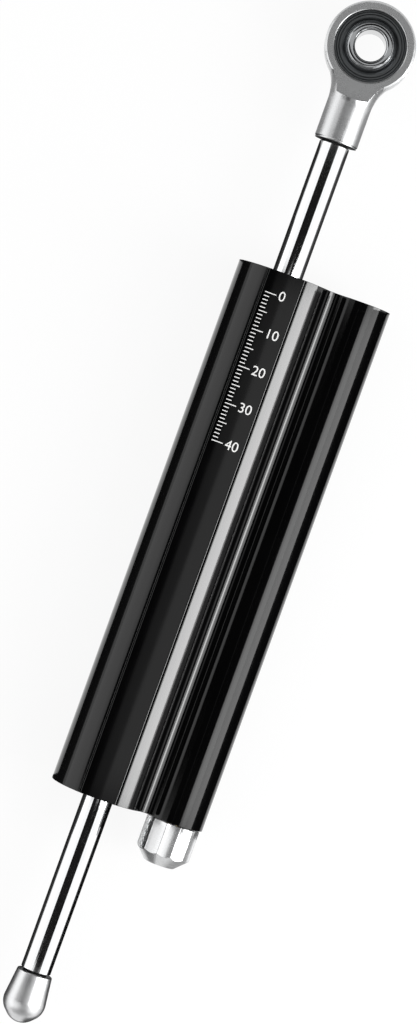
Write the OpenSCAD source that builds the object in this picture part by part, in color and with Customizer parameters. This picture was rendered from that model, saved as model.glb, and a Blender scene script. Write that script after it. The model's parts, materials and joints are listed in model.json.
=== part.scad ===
// Motorcycle steering damper with a through rod and a click adjuster, in millimetres.
// The origin is on the barrel's axis at mid length. +Y points along the rod to the eye,
// +X to the side tube and +Z out of the front pad, along the bore of the eye.

/* [Body] */
// Length of the extruded body
body_len = 142; // [125:1:180]
// Outside diameter of the main barrel
barrel_d = 26; // [24:0.5:30]
// Bore of the main barrel
barrel_bore = 20; // [18:0.5:21]
// Outside diameter of the side tube
side_d = 15.4; // [14:0.2:18]
// Bore of the side tube in its two counterbored ends
side_bore = 10; // [9.4:0.2:11]
// Bore of the side tube between the counterbores
passage_d = 8.4; // [6:0.2:9]
// Distance between the axes of the two tubes
tube_spacing = 20.5; // [19.5:0.5:24]
// Radius of the hollows between the two tubes
waist_r = 3; // [1.5:0.5:5]
// Width of the flat pad along the front and the back of the barrel
pad_w = 9.4; // [6:0.2:11]
// How far the pad lies below the crown of the barrel
pad_drop = 0.6; // [0.4:0.05:1]
// Chamfer at the mouth of each bore
mouth_break = 0.5; // [0.2:0.1:0.8]
// Diameter of the slanting ports between the tubes
port_d = 2.5; // [1.5:0.1:3]
// Angle of the ports to the barrel's axis
port_tilt = 35; // [30:1:50]

/* [Rod] */
// Diameter of the rod
rod_d = 8; // [7:0.5:9]
// Rod that shows between the body and the rod end
rod_above = 36.5; // [34:0.5:50]
// Rod that shows between the body and the end cap
rod_below = 49.1; // [40:0.1:60]
// Diameter of the studs on the ends of the rod, which hold the rod end and the cap
stud_d = 6; // [5:0.2:6.4]
// Chamfer on the ends of the studs
stud_break = 0.6; // [0.3:0.1:1]

/* [Rod end] */
// Outside diameter of the eye
eye_d = 23.4; // [22:0.2:28]
// Thickness of the eye between its milled faces
eye_t = 8; // [7:0.5:10]
// Chamfer around the eye
eye_break = 0.6; // [0.3:0.1:1]
// Diameter of the bearing race
race_d = 18.4; // [17.5:0.1:20.5]
// Thickness of the bearing race
race_t = 7.2; // [6:0.2:8]
// Chamfer around the mouth of the race
race_break = 0.5; // [0.2:0.1:0.8]
// Diameter of the ball
ball_d = 15; // [13.5:0.1:15.5]
// Width of the ball across its flat faces
ball_w = 10; // [8.5:0.5:11]
// Bore of the ball, for the mounting bolt
eye_bore = 8; // [6:0.5:9]
// Chamfer at the bore of the ball
bore_break = 0.4; // [0.2:0.1:0.6]
// Diameter of the shank
shank_d = 11.5; // [11:0.1:14]
// Distance from the eye's centre to the end of the shank
shank_len = 26; // [25:0.1:34]
// Chamfer on the end of the shank
shank_break = 0.5; // [0.2:0.1:1]
// Radius of the fillet between the eye and the shank
neck_r = 12; // [8:0.5:16]
// Diameter of the round faces that are milled on the eye
face_d = 28.8; // [26:0.2:32]
// Depth of the stud's seat in the shank
rod_socket = 13; // [10:0.5:14]

/* [End cap] */
// Largest diameter of the cap
cap_d = 11.2; // [11:0.1:13]
// Diameter of the cap at its mouth
cap_mouth_d = 9.4; // [9.2:0.1:10.6]
// Length of the cap
cap_len = 13.6; // [12.4:0.1:18]
// Length of the nose past the widest place
cap_nose = 5.65; // [5.3:0.05:6.6]
// Radius of the shoulder at the widest place
cap_shoulder_r = 4.85; // [4.2:0.05:5.2]
// Depth of the stud's seat in the cap
cap_socket = 8.5; // [6:0.5:9]

/* [Glands] */
// Length of each gland
gland_len = 21.6; // [19:0.1:26]
// Distance from the body's end to the gland's circlip
mouth_recess = 1.2; // [0.8:0.1:2]
// Thickness of the gland's circlip
clip_t = 1.2; // [1:0.1:1.5]
// How far the circlip bites into the wall of the bore
clip_bite = 0.6; // [0.4:0.05:0.8]
// Radial width of the circlip
clip_w = 1.9; // [1.5:0.1:2.2]
// Radius of the circlip's ears
clip_ear_r = 1.5; // [1.2:0.1:1.7]
// Radial depth of the seats for the wiper and the seal
seal_wall = 3; // [2.4:0.1:3.4]
// Length of the wiper in its seat
wiper_len = 4; // [3.4:0.1:4.6]
// How far the wiper's lip stands out of the gland
wiper_lip = 1; // [0.5:0.1:1.2]
// Length of the rod seal
seal_len = 3.4; // [3:0.1:4]
// Wall left beside each seat in the gland
gland_land = 2.6; // [1.6:0.1:3]
// Wall of the guide bush
bush_wall = 1.5; // [1:0.1:2]
// Depth of the gland's groove for its seal ring
gland_groove = 1.6; // [1.2:0.1:2]

/* [Piston] */
// Length of the piston
piston_len = 9; // [8:0.1:11]
// How far the piston's land stands clear of the bore
piston_relief = 0.4; // [0.2:0.1:0.6]
// Width of the sliding band
band_w = 5; // [4:0.1:5.6]
// Thickness of the sliding band
band_t = 1.6; // [1.2:0.1:2]
// Diameter of the bleed holes
bleed_d = 2; // [1.4:0.1:2.4]
// Number of bleed holes
bleed_count = 6; // [4:1:8]
// Number of shims on each side
shim_count = 3; // [2:1:4]
// Thickness of a shim
shim_t = 0.3; // [0.2:0.05:0.4]
// Diameter of the largest shim
shim_d = 15; // [14.2:0.1:15.6]
// How much smaller each next shim is
shim_step = 1.6; // [1:0.1:2]
// Diameter of the washers behind the shims
washer_d = 11.4; // [10.6:0.1:12.4]
// Thickness of the washers
washer_t = 1.5; // [1:0.1:2]
// Thickness of the snap rings
snap_t = 1; // [0.8:0.1:1.2]
// Radial width of the snap rings
snap_w = 1.6; // [1.4:0.1:1.8]
// How far the snap rings bite into the rod
snap_bite = 0.4; // [0.3:0.05:0.5]

/* [Compensator] */
// Distance from the body's end to the plug's circlip
plug_recess = 1; // [0.8:0.1:1.6]
// Thickness of the plug's circlip
plug_clip_t = 1; // [0.8:0.1:1.2]
// How far the plug's circlip bites into the wall
plug_clip_bite = 0.5; // [0.4:0.05:0.7]
// Radial width of the plug's circlip
plug_clip_w = 1.2; // [1:0.1:1.4]
// Radius of the ears on the plug's circlip
plug_ear_r = 0.95; // [0.9:0.05:1]
// Length of the plug
plug_len = 6; // [5:0.1:7]
// Depth of the turned dish in the plug's outer face
plug_dish = 0.8; // [0.4:0.1:1.2]
// Depth of the grooves for the small seal rings
small_groove = 1.1; // [0.9:0.05:1.2]
// Length of the space between the plug and the floating piston
spring_space = 9; // [8.4:0.1:11]
// Length of the floating piston
float_len = 6; // [5.4:0.1:7]
// Depth of the spring's seat in the floating piston
float_cup = 1.2; // [0.8:0.1:1.4]
// Wall around the spring's seat
float_wall = 0.9; // [0.7:0.1:1.1]
// Wire of the compensator spring
spring_wire = 0.9; // [0.7:0.05:1]
// Turns of the compensator spring
spring_turns = 5; // [4:1:6]

/* [Adjuster] */
// Diameter of the knob over its ridges
knob_d = 14.8; // [13.6:0.2:17]
// Length of the knob
knob_len = 11.35; // [10:0.05:14]
// Gap between the knob and the body
knob_gap = 0.35; // [0.3:0.05:0.4]
// Chamfer on the outer end of the knob
knob_chamfer = 3.2; // [2:0.1:3.6]
// Number of flutes around the knob
flute_count = 12; // [10:1:18]
// Radius of a flute
flute_r = 6; // [4:0.1:8]
// Width of the ridges between the flutes
ridge_w = 0.15; // [0.1:0.05:0.4]
// Angle of the first flute
flute_angle = 2.5; // [0:0.5:29.5]
// Length of the cartridge that closes the side tube
cartridge_len = 13.6; // [13:0.1:16]
// How far the cartridge lies below the body's end
cartridge_sink = 0.3; // [0.2:0.05:0.5]
// Diameter of the adjuster shaft
shaft_d = 4; // [3.6:0.1:4.2]
// Depth of the flat on the shaft
shaft_flat = 0.5; // [0.3:0.05:0.7]
// Wall of the metering drum
drum_wall = 1.35; // [1:0.05:1.6]
// Length of the drum past the port
drum_lead = 6; // [4:0.5:8]
// Thickness of the drum's closed end
drum_floor = 4; // [3:0.1:5]
// Number of metering holes in the drum
meter_count = 7; // [5:2:9]
// Diameter of the smallest metering hole
meter_min_d = 0.8; // [0.6:0.1:1]
// Diameter of the largest metering hole
meter_max_d = 2.4; // [1.8:0.1:2.6]
// How far the knob turns, in degrees
knob_turn = 300; // [180:10:310]
// Diameter of the stop pin
stop_d = 1.2; // [1:0.1:1.4]
// Length of the stop pin in the drum's slot
stop_reach = 1.4; // [1:0.1:1.8]
// Length of the stop pin in the cartridge
stop_seat = 2.8; // [2:0.1:3]
// Number of clicks in a full turn of the knob
click_count = 20; // [12:1:24]
// Diameter of the detent ball
detent_d = 1.8; // [1.6:0.1:1.9]
// Length of the detent's pocket
detent_depth = 5; // [4:0.1:5.4]
// Wire of the detent spring
detent_wire = 0.36; // [0.3:0.02:0.4]
// Turns of the detent spring
detent_turns = 4; // [3:1:5]
// Diameter of the screw in the knob
screw_d = 2.4; // [2:0.1:2.6]
// Diameter of the screw's head
screw_head_d = 4.4; // [4:0.1:4.8]
// Height of the screw's head
screw_head_h = 1.7; // [1.4:0.1:1.9]
// Length of the screw under its head
screw_len = 5; // [4:0.1:6]
// Width across the flats of the screw's socket
screw_key = 2; // [1.5:0.5:2.5]
// Depth of the sink for the screw's head
screw_sink = 2.1; // [1.9:0.1:2.6]
// Wall of the knob under the screw's head
knob_web = 1.1; // [0.8:0.1:1.6]

/* [Clearances] */
// Clearance around a piece that is fixed in its seat
slip = 0.03; // [0.02:0.01:0.05]
// Clearance around a piece that slides or turns
run = 0.04; // [0.02:0.01:0.08]
// Gap at the ends of stacked pieces
stack_gap = 0.02; // [0.01:0.01:0.05]
// End play of the drum, the floating piston and the rod's studs
end_play = 0.1; // [0.05:0.05:0.2]
// Clearance around the rod in the gland, which the bush and the seals bridge
gland_clear = 0.15; // [0.1:0.05:0.3]
// Clearance around the detent ball in its track
track_clear = 0.1; // [0.05:0.05:0.15]

/* [Hidden] */
$fn = 64;

// The two ends of the body: the eye's end and the cap's end
top = 1;
bottom = -1;
// How far a cutting shape reaches past what it cuts
over = 1;
// How far a fillet cuts into the round that it blends with, so that the two join
nip = 0.01;

barrel_r = barrel_d / 2;
bore_r = barrel_bore / 2;
side_r = side_d / 2;
side_bore_r = side_bore / 2;
rod_r = rod_d / 2;
stud_r = stud_d / 2;
pad_level = barrel_r - pad_drop;

// Centres of the hollows between the two tubes
barrel_reach = barrel_r + waist_r - nip;
side_reach = side_r + waist_r - nip;
hollow_x = (tube_spacing^2 + barrel_reach^2 - side_reach^2) / (2 * tube_spacing);
hollow_y = sqrt(barrel_reach^2 - hollow_x^2);

// Depths below the end of the body
gland_z0 = mouth_recess + clip_t;
gland_z1 = gland_z0 + gland_len;
seal_z0 = gland_z0 + wiper_len + gland_land;
seal_z1 = seal_z0 + seal_len;
bush_z0 = seal_z1 + gland_land;
gland_groove_z = (gland_z0 + gland_z1) / 2;
plug_z0 = plug_recess + plug_clip_t;
plug_z1 = plug_z0 + plug_len;
plug_groove_z = (plug_z0 + plug_dish + plug_z1) / 2;
float_z0 = plug_z1 + spring_space;
float_z1 = float_z0 + float_len;
float_groove_z = (float_z0 + float_cup + float_z1) / 2;
cartridge_z1 = cartridge_sink + cartridge_len;
drum_z0 = cartridge_z1 + end_play;
port_z = gland_z1 + port_d / 2 / sin(port_tilt) + end_play;
meter_z = port_z + (tube_spacing - side_bore_r - bore_r) / tan(port_tilt);
drum_z1 = meter_z + drum_lead;

// Adjuster
knob_r = knob_d / 2;
shaft_r = shaft_d / 2;
drum_r = side_bore_r - run;
shaft_tip = knob_gap + knob_len - screw_sink - knob_web;
stop_ring_r = (shaft_r + side_bore_r) / 2;
stop_slot_w = stop_d + 3 * end_play;
stop_margin = asin((stop_d / 2 + end_play) / stop_ring_r);
detent_ring_r = (shaft_r + side_bore_r) / 2;
detent_r = detent_d / 2;
detent_pocket_r = detent_r + run;
detent_foot = cartridge_sink + detent_depth;
cartridge_groove_z = (detent_foot + 2 * cartridge_z1 - 2 * stop_seat) / 3;
shaft_groove_z = (2 * detent_foot + cartridge_z1 - stop_seat) / 3;
stop_angle = 90;
detent_angle = 270;

// Places along the rod
eye_y = body_len / 2 + rod_above + shank_len;
cap_y = -body_len / 2 - rod_below;
rod_y0 = cap_y - cap_socket + end_play;
rod_y1 = eye_y - shank_len + rod_socket - end_play;
// The piston rests where both ends of the stroke leave the same gap outside
piston_y = (rod_above - rod_below) / 2;

// Piston stack, measured from the middle of the piston
piston_half = piston_len / 2;
shim_stack = shim_count * (shim_t + stack_gap) + stack_gap;
washer_z0 = piston_half + shim_stack;
washer_z1 = washer_z0 + washer_t;
snap_z0 = washer_z1 + stack_gap;
snap_z1 = snap_z0 + snap_t;
band_groove_r = bore_r - run - band_t - run;
bleed_ring_r = (rod_r + band_groove_r) / 2;

// Rod end
eye_r = eye_d / 2;
race_r = race_d / 2;
ball_r = ball_d / 2;
shank_r = shank_d / 2;
neck_x = shank_r + neck_r;
neck_z = sqrt((eye_r + neck_r - nip)^2 - neck_x^2);

// End cap: the shoulder's arc, then a 45 degree cone, then the round of the nose
cap_widest = cap_len - cap_nose;
shoulder_x = cap_d / 2 - cap_shoulder_r;
flank_reach = norm([cap_mouth_d / 2 - shoulder_x, cap_widest]);
flank_angle = acos(cap_shoulder_r / flank_reach) - atan2(cap_widest, cap_mouth_d / 2 - shoulder_x);
cone_r = shoulder_x + cap_shoulder_r * cos(45);
cone_z = cap_widest + cap_shoulder_r * sin(45);
nose_z = cap_widest + (sqrt(2) * cap_nose - cone_r - cone_z + cap_widest) / (sqrt(2) - 1);
nose_r = cap_len - nose_z;

// Springs
float_cup_r = side_bore_r - run - float_wall;
spring_r = float_cup_r - 2 * run - spring_wire / 2;
spring_len = spring_space + float_cup - 2 * stack_gap;
detent_spring_r = detent_pocket_r - 2 * run - detent_wire / 2;
detent_centre_z = cartridge_sink - 2 * stack_gap;
detent_spring_len = detent_foot - detent_centre_z - detent_r - 2 * stack_gap;
coil_rings = 12;
coil_sides = 8;

black = "#17181a";
silver = "#c9cbce";
chrome = "#e4e6e8";
steel = "#8e9196";
bronze = "#a67c4a";
brass = "#c2a15a";
rubber = "#202122";
seal_green = "#3f6b4c";

// Places: local z runs into the body from one of its ends
module at_mouth(end, x = 0) translate([x, end * body_len / 2, 0]) rotate([end * 90, 0, 0]) children();

// Local z runs from the middle of the piston towards one end of the body
module at_piston(end) translate([0, piston_y, 0]) rotate([-end * 90, 0, 0]) children();

// Local z runs out of the knob's inner face, away from the body
module at_knob() at_mouth(bottom, tube_spacing) translate([0, 0, -knob_gap]) mirror([0, 0, 1]) children();

// Centre of the eye, with local z along its bore
module at_eye() translate([0, eye_y, 0]) children();

// Local z runs from the eye's centre down the shank
module at_shank() at_eye() rotate([90, 0, 0]) children();

// A rectangle in a turned section, between two radii and two heights
module band_section(r0, r1, z0, z1) translate([r0, z0]) square([r1 - r0, z1 - z0]);

// A seal ring of round section between the floor of its groove and the wall that it seals on
module seal_ring(r0, r1, z) {
    translate([0, 0, z]) rotate_extrude() translate([(r0 + r1) / 2, 0]) circle(d = r1 - r0 - 2 * slip);
}

// The section of a seal ring's groove, a third wider than the ring
module groove_section(r0, r1, z) {
    width = 4 / 3 * (r1 - r0);
    band_section(r0, r1 + over, z - width / 2, z + width / 2);
}

// A 45 degree chamfer at the mouth of a bore that starts at z = 0
module mouth_cut(r, size) translate([0, 0, -over]) cylinder(r1 = r + size + over, r2 = r, h = size + over);

// An internal circlip for a bore, with two eyed ears beside its gap
module circlip(bore, bite, width, ear, t) {
    rim = bore + bite - slip;
    inner = rim - width;
    ear_r = bore - slip - ear;
    ear_angle = asin(1.6 * ear / ear_r);
    linear_extrude(t) difference() {
        union() {
            difference() {
                circle(r = rim);
                circle(r = inner);
                polygon([
                    [0, 0], 2 * rim * [cos(ear_angle), -sin(ear_angle)], [3 * rim, 0],
                    2 * rim * [cos(ear_angle), sin(ear_angle)]
                ]);
            }
            for (side = [-1, 1])
                rotate(side * ear_angle) translate([ear_r, 0]) circle(r = ear);
        }
        for (side = [-1, 1])
            rotate(side * ear_angle) translate([ear_r, 0]) circle(r = ear / 2);
    }
}

// Points along the middle of a coil of wire
function coil_points(r, wire, turns, len) = [
    for (i = [0 : turns * coil_rings])
        let (a = 360 * i / coil_rings)
        [r * cos(a), r * sin(a), wire / 2 + (len - wire) * i / (turns * coil_rings)]
];

// Least gap between the turns of a coil
function coil_gap(points, wire) = min([
    for (i = [0 : len(points) - 1], j = [i + coil_rings / 2 : len(points) - 1]) norm(points[i] - points[j])
]) - wire;

// One unbroken coil of wire, standing on z = 0
module coil(r, wire, turns, len) {
    rings = coil_points(r, wire, turns, len);
    last = len(rings) - 1;
    points = [
        for (i = [0 : last], k = [0 : coil_sides - 1])
            let (a = 360 * i / coil_rings, b = 360 * k / coil_sides)
            rings[i] + wire / 2 * [cos(b) * cos(a), cos(b) * sin(a), sin(b)]
    ];
    skin = [
        for (i = [0 : last - 1], k = [0 : coil_sides - 1])
            let (p = i * coil_sides + k, q = i * coil_sides + (k + 1) % coil_sides)
            each [[p, p + coil_sides, q], [q, p + coil_sides, q + coil_sides]]
    ];
    ends = [
        for (k = [1 : coil_sides - 2])
            each [[0, k, k + 1], [last * coil_sides, last * coil_sides + k + 1, last * coil_sides + k]]
    ];
    polyhedron(points, concat(skin, ends));
}

// The section of the barrel, with its two pads
module barrel_section() {
    intersection() {
        circle(r = barrel_r);
        square([barrel_d, 2 * pad_level], center = true);
    }
    square([pad_w, 2 * pad_level], center = true);
}

// The section of the web between the tubes, hollowed on both sides
module web_section() {
    difference() {
        polygon([[0, 0], [hollow_x, hollow_y], [tube_spacing, 0], [hollow_x, -hollow_y]]);
        for (side = [-1, 1])
            translate([hollow_x, side * hollow_y]) circle(r = waist_r);
    }
}

// The extrusion before its bores
module body_blank() {
    linear_extrude(body_len) barrel_section();
    linear_extrude(body_len) web_section();
    translate([tube_spacing, 0, 0]) cylinder(r = side_r, h = body_len);
}

// The slanting port from the barrel to the side tube, drilled through the barrel's mouth
module port_cut() {
    translate([bore_r, 0, port_z]) rotate([0, port_tilt, 0]) translate([0, 0, -port_d])
        cylinder(d = port_d, h = port_d + (tube_spacing - bore_r) / sin(port_tilt));
}

module housing() {
    color(black) difference() {
        at_mouth(top) body_blank();
        at_mouth(top) translate([0, 0, -over]) cylinder(r = bore_r, h = body_len + 2 * over);
        at_mouth(top, tube_spacing) translate([0, 0, -over]) cylinder(d = passage_d, h = body_len + 2 * over);
        for (end = [top, bottom]) {
            at_mouth(end) translate([0, 0, mouth_recess]) cylinder(r = bore_r + clip_bite, h = clip_t);
            at_mouth(end) mouth_cut(bore_r, mouth_break);
            at_mouth(end, tube_spacing) mouth_cut(side_bore_r, mouth_break);
            at_mouth(end) port_cut();
        }
        at_mouth(top, tube_spacing) {
            translate([0, 0, -over]) cylinder(r = side_bore_r, h = over + float_z1 + end_play);
            translate([0, 0, plug_recess]) cylinder(r = side_bore_r + plug_clip_bite, h = plug_clip_t);
        }
        at_mouth(bottom, tube_spacing)
            translate([0, 0, -over]) cylinder(r = side_bore_r, h = over + drum_z1 + end_play);
    }
}

// A gland with seats for the wiper, the rod seal, the guide bush and its own seal ring
module gland(end) {
    rim = bore_r - slip;
    color(steel) at_mouth(end) rotate_extrude() difference() {
        band_section(rod_r + gland_clear, rim, gland_z0, gland_z1);
        band_section(0, rod_r + seal_wall, gland_z0 - over, gland_z0 + wiper_len);
        band_section(0, rod_r + seal_wall, seal_z0, seal_z1);
        band_section(0, rod_r + bush_wall, bush_z0, gland_z1 + over);
        groove_section(bore_r - gland_groove, bore_r, gland_groove_z);
        for (z = [gland_z0, gland_z1])
            translate([rim, z]) rotate(45) square(mouth_break, center = true);
    }
}

module gland_circlip(end) {
    color(steel) at_mouth(end) translate([0, 0, mouth_recess + stack_gap]) rotate(180)
        circlip(bore_r, clip_bite, clip_w, clip_ear_r, clip_t - 2 * stack_gap);
}

module guide_bush(end) {
    color(bronze) at_mouth(end) rotate_extrude()
        band_section(rod_r + run, rod_r + bush_wall - slip, bush_z0 + stack_gap, gland_z1);
}

// A U-shaped lip seal, open towards the oil
module rod_seal(end) {
    inner = rod_r + run;
    outer = rod_r + seal_wall - slip;
    z0 = seal_z0 + stack_gap;
    z1 = seal_z1 - stack_gap;
    lip = (outer - inner) / 4;
    color(seal_green) at_mouth(end) rotate_extrude() polygon([
        [inner + lip / 3, z0], [outer, z0], [outer, z1], [outer - lip, z1],
        [(inner + outer) / 2, z0 + lip], [inner + lip, z1], [inner, z1], [inner, z1 - lip]
    ]);
}

// A dirt wiper whose lip runs on the rod, just outside the gland
module wiper(end) {
    inner = rod_r + run;
    outer = rod_r + seal_wall - slip;
    z1 = gland_z0 + wiper_len - stack_gap;
    lip = (outer - inner) / 4;
    color(rubber) at_mouth(end) rotate_extrude() polygon([
        [inner + lip, z1], [outer, z1], [outer, gland_z0 + lip], [outer - lip, gland_z0],
        [inner + lip, gland_z0 - wiper_lip], [inner, gland_z0 - wiper_lip], [inner, gland_z0],
        [inner + lip, gland_z0 + 2 * lip]
    ]);
}

module gland_oring(end) {
    color(rubber) at_mouth(end) seal_ring(bore_r - gland_groove, bore_r, gland_groove_z);
}

module reservoir_plug() {
    rim = side_bore_r - slip;
    color(steel) at_mouth(top, tube_spacing) rotate_extrude() difference() {
        band_section(0, rim, plug_z0, plug_z1);
        band_section(0, rim - plug_clip_w, plug_z0 - over, plug_z0 + plug_dish);
        groove_section(side_bore_r - small_groove, side_bore_r, plug_groove_z);
    }
}

module plug_oring() {
    color(rubber) at_mouth(top, tube_spacing)
        seal_ring(side_bore_r - small_groove, side_bore_r, plug_groove_z);
}

module plug_circlip() {
    color(steel) at_mouth(top, tube_spacing) translate([0, 0, plug_recess + stack_gap])
        circlip(side_bore_r, plug_clip_bite, plug_clip_w, plug_ear_r, plug_clip_t - 2 * stack_gap);
}

module floating_piston() {
    rim = side_bore_r - run;
    color(silver) at_mouth(top, tube_spacing) rotate_extrude() difference() {
        band_section(0, rim, float_z0, float_z1);
        band_section(0, float_cup_r, float_z0 - over, float_z0 + float_cup);
        groove_section(side_bore_r - small_groove, side_bore_r, float_groove_z);
    }
}

module floating_piston_oring() {
    color(rubber) at_mouth(top, tube_spacing)
        seal_ring(side_bore_r - small_groove, side_bore_r, float_groove_z);
}

module compensator_spring() {
    color(steel) at_mouth(top, tube_spacing) translate([0, 0, plug_z1 + stack_gap])
        coil(spring_r, spring_wire, spring_turns, spring_len);
}

// The place of the detent's pocket, on the cartridge's outer face
module at_detent() at_mouth(bottom, tube_spacing) rotate(detent_angle) translate([detent_ring_r, 0, 0]) children();

module adjuster_cartridge() {
    color(brass) difference() {
        at_mouth(bottom, tube_spacing) rotate_extrude() difference() {
            band_section(shaft_r + run, side_bore_r - slip, cartridge_sink, cartridge_z1);
            groove_section(side_bore_r - small_groove, side_bore_r, cartridge_groove_z);
            translate([shaft_r - over, shaft_groove_z - 2 / 3 * small_groove])
                square([small_groove + over, 4 / 3 * small_groove]);
        }
        at_detent() cylinder(r = detent_pocket_r, h = detent_foot);
        at_mouth(bottom, tube_spacing) rotate(stop_angle)
            translate([stop_ring_r, 0, cartridge_z1 - stop_seat]) cylinder(d = stop_d + 2 * slip, h = stop_seat + over);
    }
}

module cartridge_oring() {
    color(rubber) at_mouth(bottom, tube_spacing)
        seal_ring(side_bore_r - small_groove, side_bore_r, cartridge_groove_z);
}

module shaft_oring() {
    color(rubber) at_mouth(bottom, tube_spacing) seal_ring(shaft_r, shaft_r + small_groove, shaft_groove_z);
}

module stop_pin() {
    color(steel) at_mouth(bottom, tube_spacing) rotate(stop_angle)
        translate([stop_ring_r, 0, cartridge_z1 - stop_seat + stack_gap])
        cylinder(d = stop_d, h = stop_seat + stop_reach - stack_gap);
}

module detent_ball() {
    color(chrome) at_detent() translate([0, 0, detent_centre_z]) sphere(r = detent_r);
}

module detent_spring() {
    color(steel) at_detent() translate([0, 0, detent_centre_z + detent_r + stack_gap])
        coil(detent_spring_r, detent_wire, detent_turns, detent_spring_len);
}

// The section of the shaft where the knob sits, a circle with one flat
module shaft_section(grow) {
    intersection() {
        circle(r = shaft_r + grow);
        translate([-shaft_d, -shaft_d]) square([2 * shaft_d, shaft_d + shaft_r - shaft_flat + grow]);
    }
}

// A hollow drum with a row of metering holes, on the shaft that carries the knob
module metering_drum() {
    slot_turn = knob_turn + 2 * stop_margin;
    meter_step = knob_turn / (meter_count - 1);
    color(brass) at_mouth(bottom, tube_spacing) difference() {
        union() {
            translate([0, 0, drum_z0]) cylinder(r = drum_r, h = drum_z1 - drum_z0);
            translate([0, 0, -knob_gap]) cylinder(r = shaft_r, h = drum_z0 + knob_gap);
            translate([0, 0, -shaft_tip]) linear_extrude(shaft_tip) shaft_section(0);
        }
        translate([0, 0, drum_z0 + drum_floor]) cylinder(r = drum_r - drum_wall, h = drum_z1);
        translate([0, 0, drum_z0 - over]) rotate(stop_angle - slot_turn / 2) rotate_extrude(angle = slot_turn)
            band_section(
                stop_ring_r - stop_slot_w / 2, stop_ring_r + stop_slot_w / 2,
                0, over + stop_reach + end_play
            );
        for (i = [0 : meter_count - 1])
            rotate(180 + (i - (meter_count - 1) / 2) * meter_step) translate([0, 0, meter_z]) rotate([0, 90, 0])
                cylinder(d = meter_min_d + (meter_max_d - meter_min_d) * i / (meter_count - 1), h = side_bore);
        translate([0, 0, -shaft_tip - over]) cylinder(d = screw_d + 2 * slip, h = over + screw_len);
    }
}

// The knob: turned, chamfered and fluted, with a click track on its inner face
module knob() {
    ridge_angle = asin(ridge_w / 2 / knob_r);
    half_flute = 180 / flute_count - ridge_angle;
    flute_x = knob_r * cos(half_flute) + sqrt(flute_r^2 - (knob_r * sin(half_flute))^2);
    track_z = -knob_gap - detent_centre_z;
    color(silver) at_knob() difference() {
        rotate_extrude() polygon([
            [0, 0], [knob_r, 0], [knob_r, knob_len - knob_chamfer], [knob_r - knob_chamfer, knob_len], [0, knob_len]
        ]);
        for (i = [0 : flute_count - 1])
            rotate(flute_angle + i * 360 / flute_count) translate([flute_x, 0, -over])
                cylinder(r = flute_r, h = knob_len + 2 * over);
        translate([0, 0, -over])
            linear_extrude(over + shaft_tip - knob_gap + stack_gap) shaft_section(slip);
        cylinder(d = screw_d + 2 * end_play, h = knob_len);
        translate([0, 0, knob_len - screw_sink]) cylinder(d = screw_head_d + 4 * end_play, h = screw_sink + over);
        translate([0, 0, track_z]) rotate_extrude() translate([detent_ring_r, 0])
            circle(r = detent_r + track_clear);
        for (i = [0 : click_count - 1])
            rotate(detent_angle + i * 360 / click_count)
                translate([detent_ring_r, 0, track_z + track_clear]) sphere(r = detent_r + track_clear);
    }
}

module knob_screw() {
    color(steel) at_knob() difference() {
        union() {
            translate([0, 0, knob_len - screw_sink + stack_gap]) cylinder(d = screw_head_d, h = screw_head_h);
            translate([0, 0, knob_len - screw_sink - screw_len + knob_web])
                cylinder(d = screw_d, h = screw_len - knob_web + 2 * stack_gap);
        }
        translate([0, 0, knob_len - screw_sink + screw_head_h / 3])
            cylinder(d = screw_key / cos(30), h = screw_head_h + over, $fn = 6);
    }
}

// The rod, turned down to a stud at each end, with grooves for the snap rings
module piston_rod() {
    tip = rod_y1 - rod_y0;
    shoulder_low = cap_y + stack_gap - rod_y0;
    shoulder_high = eye_y - shank_len - stack_gap - rod_y0;
    color(chrome) difference() {
        translate([0, rod_y0, 0]) rotate([-90, 0, 0]) rotate_extrude() polygon([
            [0, 0], [stud_r - stud_break, 0], [stud_r, stud_break], [stud_r, shoulder_low],
            [rod_r, shoulder_low], [rod_r, shoulder_high], [stud_r, shoulder_high],
            [stud_r, tip - stud_break], [stud_r - stud_break, tip], [0, tip]
        ]);
        for (end = [top, bottom])
            at_piston(end) rotate_extrude()
                band_section(rod_r - snap_bite, rod_r + over, washer_z1, snap_z1 + stack_gap);
    }
}

// The piston, with a groove for its sliding band and a ring of bleed holes
module piston() {
    color(silver) at_piston(top) difference() {
        rotate_extrude() difference() {
            band_section(rod_r + slip, bore_r - piston_relief, -piston_half, piston_half);
            band_section(band_groove_r, bore_r, -band_w / 2 - run, band_w / 2 + run);
        }
        for (i = [0 : bleed_count - 1])
            rotate(i * 360 / bleed_count) translate([bleed_ring_r, 0, -piston_half - over])
                cylinder(d = bleed_d, h = piston_len + 2 * over);
    }
}

module piston_band() {
    color(bronze) at_piston(top) rotate_extrude()
        band_section(band_groove_r + run, bore_r - run, -band_w / 2, band_w / 2);
}

// Thin discs over the bleed holes, each smaller than the one before
module shims(end) {
    color(steel) at_piston(end) for (i = [0 : shim_count - 1])
        translate([0, 0, piston_half + stack_gap + i * (shim_t + stack_gap)]) linear_extrude(shim_t) difference() {
            circle(d = shim_d - i * shim_step);
            circle(r = rod_r + slip);
        }
}

module piston_washer(end) {
    color(steel) at_piston(end) translate([0, 0, washer_z0]) linear_extrude(washer_t) difference() {
        circle(d = washer_d);
        circle(r = rod_r + slip);
    }
}

// An open snap ring in its groove on the rod
module snap_ring(end) {
    inner = rod_r - snap_bite + slip;
    color(steel) at_piston(end) translate([0, 0, snap_z0]) linear_extrude(snap_t) difference() {
        circle(r = inner + snap_w);
        circle(r = inner);
        translate([0, -snap_w / 2]) square([2 * rod_d, snap_w]);
    }
}

// The section of the turned shank, which flares into the eye
module shank_section() {
    difference() {
        band_section(0, shank_r, neck_z, shank_len);
        translate([shank_r, shank_len]) rotate(45) square(sqrt(2) * shank_break, center = true);
    }
    difference() {
        polygon([[0, 0], [neck_x, neck_z], [0, neck_z]]);
        translate([neck_x, neck_z]) circle(r = neck_r);
    }
}

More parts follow.
